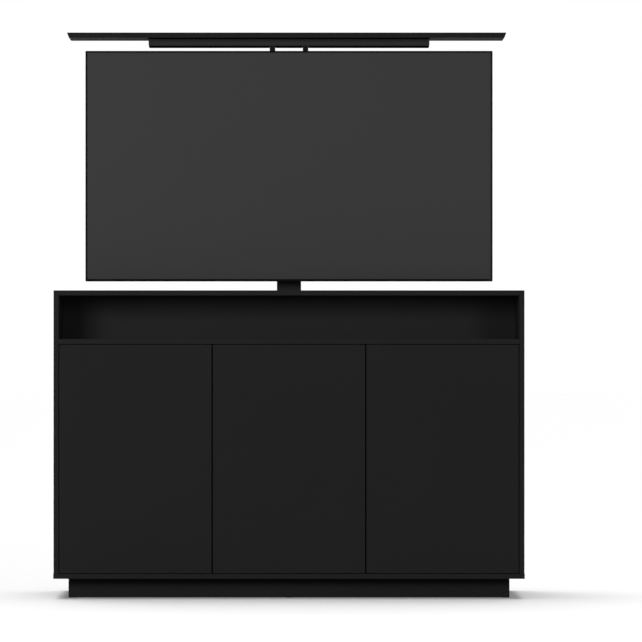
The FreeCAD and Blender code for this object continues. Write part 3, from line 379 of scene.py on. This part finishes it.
def screw_form(head_radius, shank_radius, head_depth, length, domed=0.0, pointed=False):
    """A screw about the origin, its head's face up at Z = domed, with a cross recess."""
    form = bmesh.new()
    if domed:
        head = [(share * head_radius, rise * domed) for share, rise in DOME]
    else:
        head = [(head_radius - HEAD_EDGE, 0.0), (head_radius, -HEAD_EDGE)]
    if pointed:
        taper, end = POINT_LENGTH * shank_radius, 0.0
    else:
        taper, end = TIP_CHAMFER, shank_radius - TIP_CHAMFER
    shank = [(shank_radius, -head_depth), (shank_radius, taper - length), (end, -length), (0.0, -length)]
    rim = turned(form, head + shank)
    recess(form, rim, RECESS_REACH * head_radius, RECESS_HALF_WIDTH * head_radius, domed,
           RECESS_DEPTH * head_radius)
    return form


def screw_set(name, points, way, body, form, *replaced, material="bright_steel"):
    """The same screw at every point, each turned a little further."""
    whole = bmesh.new()
    for number, point in enumerate(points):
        add(whole, form, point, way, turn=number * SCREW_TURN, keep_form=True)
    form.free()
    keep(whole, name, material, body, *replaced)


REAR_HEAD = 4.0 * MM
REAR_COLUMNS = 5


def rear_screw_points():
    """Along the head and the foot of the rear panel, and halfway up its sides."""
    left, right, _, back, low, high = corners("rear_screws")
    left, right, low, high = left + REAR_HEAD, right - REAR_HEAD, low + REAR_HEAD, high - REAR_HEAD
    for column in range(REAR_COLUMNS):
        x = left + (right - left) * column / (REAR_COLUMNS - 1)
        for z in (low, high):
            yield Vector((x, back, z))
    for x in (left, right):
        yield Vector((x, back, (low + high) / 2))


screw_set("rear_cross_screws", rear_screw_points(), BACKWARDS, "cabinet",
          screw_form(head_radius=REAR_HEAD, shank_radius=1.8 * MM, head_depth=2.2 * MM, length=22.0 * MM,
                     pointed=True), "rear_screws")

COVER_COLUMNS = (-462.0 * MM, -165.0 * MM, 165.0 * MM, 462.0 * MM)
COVER_ROWS = (74.0 * MM, 602.5 * MM)   # above the foot of the television's cover


def cover_screw_points():
    """On the flat of the television's rear bulge, near its edges."""
    _, _, _, back, low, _ = corners("tv_back_cover")
    for x in COVER_COLUMNS:
        for row in COVER_ROWS:
            yield Vector((x, back, low + row))


screw_set("tv_cover_screws", cover_screw_points(), BACKWARDS, "tv_carriage",
          screw_form(head_radius=3.6 * MM, shank_radius=1.5 * MM, head_depth=0.0, length=6.0 * MM,
                     domed=1.4 * MM), material="black_steel")

RAIL_HEAD = 6.0 * MM
RAIL_HEAD_RISE = 3.5 * MM


def rail_bolt_points():
    """Where the heads of the rail bolts sit."""
    left, right, _, back, low, high = corners("rail_bolts")
    for x in (left + RAIL_HEAD, right - RAIL_HEAD):
        for z in (low + RAIL_HEAD, high - RAIL_HEAD):
            yield Vector((x, back - RAIL_HEAD_RISE, z))


screw_set("rail_cross_bolts", rail_bolt_points(), BACKWARDS, "tv_carriage",
          screw_form(head_radius=RAIL_HEAD, shank_radius=4.0 * MM, head_depth=0.0, length=17.9 * MM,
                     domed=RAIL_HEAD_RISE), "rail_bolts")

# ---------------------------------------------------------------- the television's sockets
BAY_CENTRE_X = 360.0 * MM
BAY_CENTRE_RISE = 164.2 * MM   # above the foot of the television's cover
BAY_DEPTH = 9.0 * MM
PLATE_WIDTH = 146.0 * MM
PLATE_HEIGHT = 86.0 * MM
PLATE_THICKNESS = 1.2 * MM
PLATE_ROUND = 0.4 * MM
SOCKET_PITCH = 24.0 * MM
SOCKET_STAND = 6.0 * MM
UPPER_ROW = 22.0 * MM        # above the middle of the bay
LOWER_ROW = -2.0 * MM
PICTURE_SHELL = {"width": 15.0 * MM, "height": 5.6 * MM, "wall": 0.4 * MM, "corner": 1.6 * MM}
DATA_SHELL = {"width": 13.2 * MM, "height": 5.8 * MM, "wall": 0.4 * MM}
NETWORK_SHELL = {"width": 15.5 * MM, "height": 13.0 * MM, "wall": 0.6 * MM, "corner": 2.5 * MM}
SHELL_ROWS = (               # the first one's place from the bay's middle, the row, how many, and the kind
    (-52.0 * MM, UPPER_ROW, 4, PICTURE_SHELL),
    (-50.0 * MM, LOWER_ROW, 2, DATA_SHELL),
    (2.0 * MM, LOWER_ROW, 1, NETWORK_SHELL),
)
AERIALS = 2
AERIAL_PLACE = 34.0 * MM     # of the first one, from the bay's middle
AERIAL_RADIUS = 4.7 * MM     # over the thread
AERIAL_ROOT = 4.3 * MM
AERIAL_FACE = 4.2 * MM
AERIAL_HOLE = 1.6 * MM
AERIAL_HOLE_FLOOR = 2.0 * MM
AERIAL_STAND = 6.5 * MM
AERIAL_CHAMFER = 0.5 * MM
AERIAL_THREADS = 6
AERIAL_PITCH = 0.8 * MM


def socket_shell(form, point, way, stand, width, height, wall, corner=0.0):
    """A metal shell that stands out of a face, with a hollow and, where asked, two cut lower corners."""
    shell = bmesh.new()
    foot = bmesh.ops.create_grid(shell, x_segments=1, y_segments=1, size=0.5)["verts"]
    bmesh.ops.scale(shell, verts=foot, vec=(width, height, 1.0))
    if corner:
        low = [vert for vert in foot if vert.co.y < 0.0]
        bmesh.ops.bevel(shell, geom=low, offset=corner, segments=1, profile=0.5, affect="VERTICES",
                        material=-1)
    front = bmesh.ops.extrude_face_region(shell, geom=shell.faces[:])["geom"]
    bmesh.ops.translate(shell, verts=[item for item in front if isinstance(item, bmesh.types.BMVert)],
                        vec=(0.0, 0.0, stand))
    mouth = [item for item in front if isinstance(item, bmesh.types.BMFace)]
    bmesh.ops.inset_region(shell, faces=mouth, thickness=wall, use_even_offset=True)
    hollow = bmesh.ops.extrude_face_region(shell, geom=mouth)["geom"]
    bmesh.ops.translate(shell, verts=[item for item in hollow if isinstance(item, bmesh.types.BMVert)],
                        vec=(0.0, 0.0, wall - stand))
    bmesh.ops.delete(shell, geom=mouth, context="FACES_ONLY")
    add(form, shell, point, way)


def aerial_barrel():
    """A threaded barrel about the origin with a narrow hole in its face."""
    profile = [(0.0, AERIAL_HOLE_FLOOR), (AERIAL_HOLE, AERIAL_HOLE_FLOOR), (AERIAL_HOLE, AERIAL_STAND),
               (AERIAL_FACE, AERIAL_STAND)]
    for thread in range(AERIAL_THREADS):
        crest = AERIAL_STAND - AERIAL_CHAMFER - AERIAL_PITCH * thread
        profile += [(AERIAL_RADIUS, crest), (AERIAL_ROOT, crest - AERIAL_PITCH / 2)]
    barrel = bmesh.new()
    turned(barrel, profile + [(AERIAL_ROOT, 0.0), (0.0, 0.0)])
    return barrel


def television_sockets():
    """A plate in the bay of the television's cover, with signal shells and aerial sockets on it."""
    _, _, _, back, low, _ = corners("tv_back_cover")
    base = back - BAY_DEPTH
    middle = low + BAY_CENTRE_RISE
    plate = bmesh.new()
    block(plate, BAY_CENTRE_X - PLATE_WIDTH / 2, BAY_CENTRE_X + PLATE_WIDTH / 2, base, base + PLATE_THICKNESS,
          middle - PLATE_HEIGHT / 2, middle + PLATE_HEIGHT / 2, PLATE_ROUND)
    keep(plate, "tv_socket_plate", "black_plastic", "tv_carriage")
    shells = bmesh.new()
    for first, row, count, kind in SHELL_ROWS:
        for step in range(count):
            point = Vector((BAY_CENTRE_X + first + SOCKET_PITCH * step, base, middle + row))
            socket_shell(shells, point, BACKWARDS, SOCKET_STAND, **kind)
    keep(shells, "tv_socket_shells", "nickel", "tv_carriage")
    aerials = bmesh.new()
    for step in range(AERIALS):
        x = BAY_CENTRE_X + AERIAL_PLACE + SOCKET_PITCH * step
        add(aerials, aerial_barrel(), Vector((x, base + PLATE_THICKNESS, middle + LOWER_ROW)), BACKWARDS)
    keep(aerials, "tv_aerial_sockets", "nickel", "tv_carriage")


television_sockets()

# ---------------------------------------------------------------- lead screw, motor and control box
SCREW_LEAD = 16.0 * MM
SCREW_STARTS = 4
THREAD_DEPTH = 1.0 * MM
THREAD_SECTION = ((0.0, 1.0), (0.25, 1.0), (0.42, 0.0), (0.83, 0.0))   # shares of a start and of the depth
JOURNAL = 15.0 * MM          # plain length in the bearing ring
PLAIN_TOP = 3.0 * MM
STEPS_PER_TURN = 16          # of the thread's helix


def thread_section(form, radius):
    """The screw's level section: a lobe for each start."""
    section = []
    for start in range(SCREW_STARTS):
        for share, depth in THREAD_SECTION:
            section.append(form.verts.new((radius - depth * THREAD_DEPTH, 0.0, 0.0)))
            turn = Matrix.Rotation(2 * math.pi * (start + share) / SCREW_STARTS, 3, "Z")
            bmesh.ops.rotate(form, verts=section[-1:], cent=(0.0, 0.0, 0.0), matrix=turn)
    return form.faces.new(section)


def threaded_screw():
    """A four-start screw: its section swept along a helix, with plain ends."""
    left, right, front, back, foot, head = corners("lead_screw")
    radius, middle, length = (right - left) / 2, (front + back) / 2, head - foot
    form = bmesh.new()
    section = thread_section(form, radius)
    run = length - JOURNAL - THREAD_DEPTH
    turns = run / SCREW_LEAD
    steps = round(turns * STEPS_PER_TURN)
    swept = bmesh.ops.spin(form, geom=list(section.edges), cent=(0.0, 0.0, 0.0), axis=(0.0, 0.0, 1.0),
                           dvec=(0.0, 0.0, run / steps), angle=2 * math.pi * turns, steps=steps)["geom_last"]
    bmesh.ops.contextual_create(form, geom=[item for item in swept if isinstance(item, bmesh.types.BMEdge)])
    whole = bmesh.new()
    add(whole, form, Vector((0.0, middle, foot + JOURNAL)), UPWARDS)
    for low, high, core in ((0.0, JOURNAL, radius), (length - PLAIN_TOP, length, radius - THREAD_DEPTH)):
        plain = bmesh.new()
        turned(plain, [(0.0, high), (core - THREAD_DEPTH, high), (core, high - THREAD_DEPTH), (core, low),
                       (0.0, low)])
        add(whole, plain, Vector((0.0, middle, foot)), UPWARDS)
    keep(whole, "threaded_lead_screw", "bright_steel", "drive_screw", "lead_screw")


threaded_screw()

SUNK = 1.0 * MM              # how far a button reaches into its case
GEARBOX_WIDTH = 18.0 * MM
GEARBOX_SCREW_COLUMNS = (0.25, 0.75)   # shares of the gearbox's width
GEARBOX_SCREW_REACH = 24.0 * MM   # in front of and behind the motor's axis
MOTOR_CAP = 12.0 * MM
RIM_GAP = 1.0 * MM           # from a rim to the gearbox or the cap
RIM_WIDTH = 2.0 * MM
RIM_RADIUS = 26.9 * MM
RIM_SEAT = 25.8 * MM         # just inside the motor's can
RIM_EDGE = 0.4 * MM
BOSS_RADIUS = 9.0 * MM
BOSS_STAND = 3.0 * MM
BOSS_CHAMFER = 1.0 * MM


def button(radius, stand, chamfer):
    """A round button about the origin that stands out of a face."""
    form = bmesh.new()
    turned(form, [(0.0, stand), (radius - chamfer, stand), (radius, stand - chamfer), (radius, -SUNK),
                  (0.0, -SUNK)])
    return form


def motor_fittings():
    """Crimped rims and an end boss on the motor, and the screws of its gearbox."""
    left, right, front, back, foot, head = corners("gear_motor")
    middle_y, middle_z = (front + back) / 2, (foot + head) / 2
    rims = bmesh.new()
    for place in (left + GEARBOX_WIDTH + RIM_GAP, right - MOTOR_CAP - RIM_GAP - RIM_WIDTH):
        rim = bmesh.new()
        turned(rim, [(RIM_SEAT, 0.0), (RIM_RADIUS, RIM_EDGE), (RIM_RADIUS, RIM_WIDTH - RIM_EDGE),
                     (RIM_SEAT, RIM_WIDTH)])
        bmesh.ops.bridge_loops(rim, edges=[edge for edge in rim.edges if edge.is_boundary])
        add(rims, rim, Vector((place, middle_y, middle_z)), SIDEWAYS)
    boss = button(BOSS_RADIUS, BOSS_STAND, BOSS_CHAMFER)
    add(rims, boss, Vector((right, middle_y, middle_z)), SIDEWAYS)
    keep(rims, "motor_rims", "bright_steel", "cabinet")
    points = [Vector((left + share * GEARBOX_WIDTH, middle_y + reach, head))
              for share in GEARBOX_SCREW_COLUMNS
              for reach in (-GEARBOX_SCREW_REACH, GEARBOX_SCREW_REACH)]
    screw_set("gearbox_screws", points, UPWARDS, "cabinet",
              screw_form(head_radius=2.8 * MM, shank_radius=1.2 * MM, head_depth=0.0, length=6.0 * MM,
                         domed=1.2 * MM))


motor_fittings()

CABLE_SOCKET = {"width": 12.0 * MM, "height": 9.0 * MM, "wall": 0.8 * MM, "corner": 1.5 * MM}
CABLE_SOCKET_STAND = 3.0 * MM
CABLE_SOCKET_PITCH = 17.0 * MM
KEY_RADIUS = 4.6 * MM
KEY_STAND = 1.6 * MM
KEY_CHAMFER = 0.6 * MM
KEY_PLACE = 30.0 * MM        # of the middle key, from the box's left
KEY_PITCH = 14.0 * MM
CASE_SCREW_INSET = 6.0 * MM


def control_fittings():
    """Cable sockets, set keys and case screws of the control box."""
    left, right, front, back, foot, head = corners("control_box")
    middle_y, middle_z = (front + back) / 2, (foot + head) / 2
    fittings = bmesh.new()
    for step in (-1, 0, 1):
        point = Vector((right, middle_y, middle_z + step * CABLE_SOCKET_PITCH))
        socket_shell(fittings, point, SIDEWAYS, CABLE_SOCKET_STAND, **CABLE_SOCKET)
    for step in (-1, 0, 1):
        point = Vector((left + KEY_PLACE + step * KEY_PITCH, front, middle_z))
        add(fittings, button(KEY_RADIUS, KEY_STAND, KEY_CHAMFER), point, FORWARDS)
    keep(fittings, "control_sockets_and_keys", "rubber", "cabinet")
    points = [Vector((x, front, z)) for x in (left + CASE_SCREW_INSET, right - CASE_SCREW_INSET)
              for z in (foot + CASE_SCREW_INSET, head - CASE_SCREW_INSET)]
    screw_set("control_case_screws", points, FORWARDS, "cabinet",
              screw_form(head_radius=2.6 * MM, shank_radius=1.2 * MM, head_depth=0.0, length=6.0 * MM,
                         domed=1.0 * MM), material="black_steel")


control_fittings()

# ---------------------------------------------------------------- floor, world and lamps
FLOOR_REACH = 60.0
FLOOR_COLOUR = 0.76
FLOOR_GLOW = 0.15            # lifts the shadow that it shows
FLOOR_BOUNCE = 0.42          # what the floor throws back at the object
FLOOR_ROUGHNESS = 0.9
AMBIENT = 0.18               # the dome's strength as light
OBJECT_MIDDLE = Vector((0.0, 0.0, 0.9))
SUN_DISTANCE = 10.0


def seen_directly(tree):
    """1 where a ray comes from the camera, a reflection or glass, else 0."""
    path = tree.nodes.new("ShaderNodeLightPath")
    total = path.outputs["Is Camera Ray"]
    for name in ("Is Glossy Ray", "Is Transmission Ray"):
        either = tree.nodes.new("ShaderNodeMath")
        either.operation = "MAXIMUM"
        tree.links.new(total, either.inputs[0])
        tree.links.new(path.outputs[name], either.inputs[1])
        total = either.outputs[0]
    return total


def by_ray(tree, direct, other):
    """One grey level where the surface is seen directly, another for the light that it throws."""
    level = tree.nodes.new("ShaderNodeMix")
    level.data_type = "RGBA"
    level.inputs[COLOUR_A].default_value = flat(other)
    level.inputs[COLOUR_B].default_value = flat(direct)
    tree.links.new(seen_directly(tree), level.inputs["Factor"])
    return level.outputs[COLOUR_OUT]


def studio_floor():
    """A wide matt floor."""
    form = bmesh.new()
    bmesh.ops.create_grid(form, x_segments=1, y_segments=1, size=FLOOR_REACH)
    mesh = bpy.data.meshes.new("floor")
    form.to_mesh(mesh)
    form.free()
    material, shader = new_material("studio_floor")
    tree = material.node_tree
    tree.links.new(by_ray(tree, FLOOR_COLOUR, FLOOR_BOUNCE), shader.inputs["Base Color"])
    tree.links.new(by_ray(tree, FLOOR_GLOW, 0.0), shader.inputs["Emission Color"])
    set_inputs(shader, Emission_Strength=1.0, Roughness=FLOOR_ROUGHNESS, Specular_IOR_Level=0.0)
    mesh.materials.append(material)
    thing = bpy.data.objects.new("floor", mesh)
    bpy.context.collection.objects.link(thing)
    return thing


FLOOR = studio_floor()


def studio_world():
    """A white dome that is seen at full strength and gives a soft light."""
    world = bpy.data.worlds.new("studio")
    world.use_nodes = True
    tree = world.node_tree
    sky = tree.nodes["Background"]
    sky.inputs["Color"].default_value = flat(1.0)
    strength = tree.nodes.new("ShaderNodeMapRange")
    strength.inputs["To Min"].default_value = AMBIENT
    strength.inputs["To Max"].default_value = 1.0
    tree.links.new(seen_directly(tree), strength.inputs["Value"])
    tree.links.new(strength.outputs["Result"], sky.inputs["Strength"])
    bpy.context.scene.world = world


studio_world()


def hang(name, data, way, distance):
    """A lamp that looks at the middle of the object from some way; only its light is seen, not its shape."""
    lamp = bpy.data.objects.new(name, data)
    lamp.location = OBJECT_MIDDLE + way * distance
    lamp.rotation_euler = way.to_track_quat("Z", "Y").to_euler()
    lamp.visible_camera = False
    lamp.visible_glossy = False
    bpy.context.collection.objects.link(lamp)
    return lamp


def towards(azimuth, elevation):
    """Azimuth runs from the front towards +X and elevation from level, both in degrees."""
    turn, lift = math.radians(azimuth), math.radians(elevation)
    return Vector((math.sin(turn) * math.cos(lift), -math.cos(turn) * math.cos(lift), math.sin(lift)))


ALL_BUT_FLOOR = bpy.data.collections.new("all_but_floor")
ALL_BUT_FLOOR.objects.link(FLOOR)
ALL_BUT_FLOOR.collection_objects[0].light_linking.link_state = "EXCLUDE"


def softbox(name, azimuth, elevation, distance, width, height, level, on_floor=False):
    """A level of 1 lights a white surface that faces the lamp to white."""
    data = bpy.data.lights.new(name, "AREA")
    data.shape = "RECTANGLE"
    data.size = width
    data.size_y = height
    data.energy = level * math.pi ** 2 * distance ** 2
    lamp = hang(name, data, towards(azimuth, elevation), distance)
    if not on_floor:
        lamp.light_linking.receiver_collection = ALL_BUT_FLOOR


def overhead(name, azimuth, elevation, spread, level):
    """A wide even light from far above, with the same level as a softbox's."""
    data = bpy.data.lights.new(name, "SUN")
    data.angle = math.radians(spread)
    data.energy = level * math.pi
    hang(name, data, towards(azimuth, elevation), SUN_DISTANCE)


softbox("key", azimuth=-28.6, elevation=9.4, distance=5.7, width=1.76, height=1.5, level=0.84)
softbox("fill", azimuth=29.6, elevation=8.1, distance=10.3, width=2.3, height=2.5, level=0.34, on_floor=True)
softbox("rear", azimuth=150.0, elevation=9.0, distance=9.0, width=2.5, height=1.5, level=0.5)
softbox("rear_fill", azimuth=-125.0, elevation=9.0, distance=9.0, width=2.5, height=1.5, level=0.35)
overhead("overhead", azimuth=-153.0, elevation=78.0, spread=52.0, level=0.95)
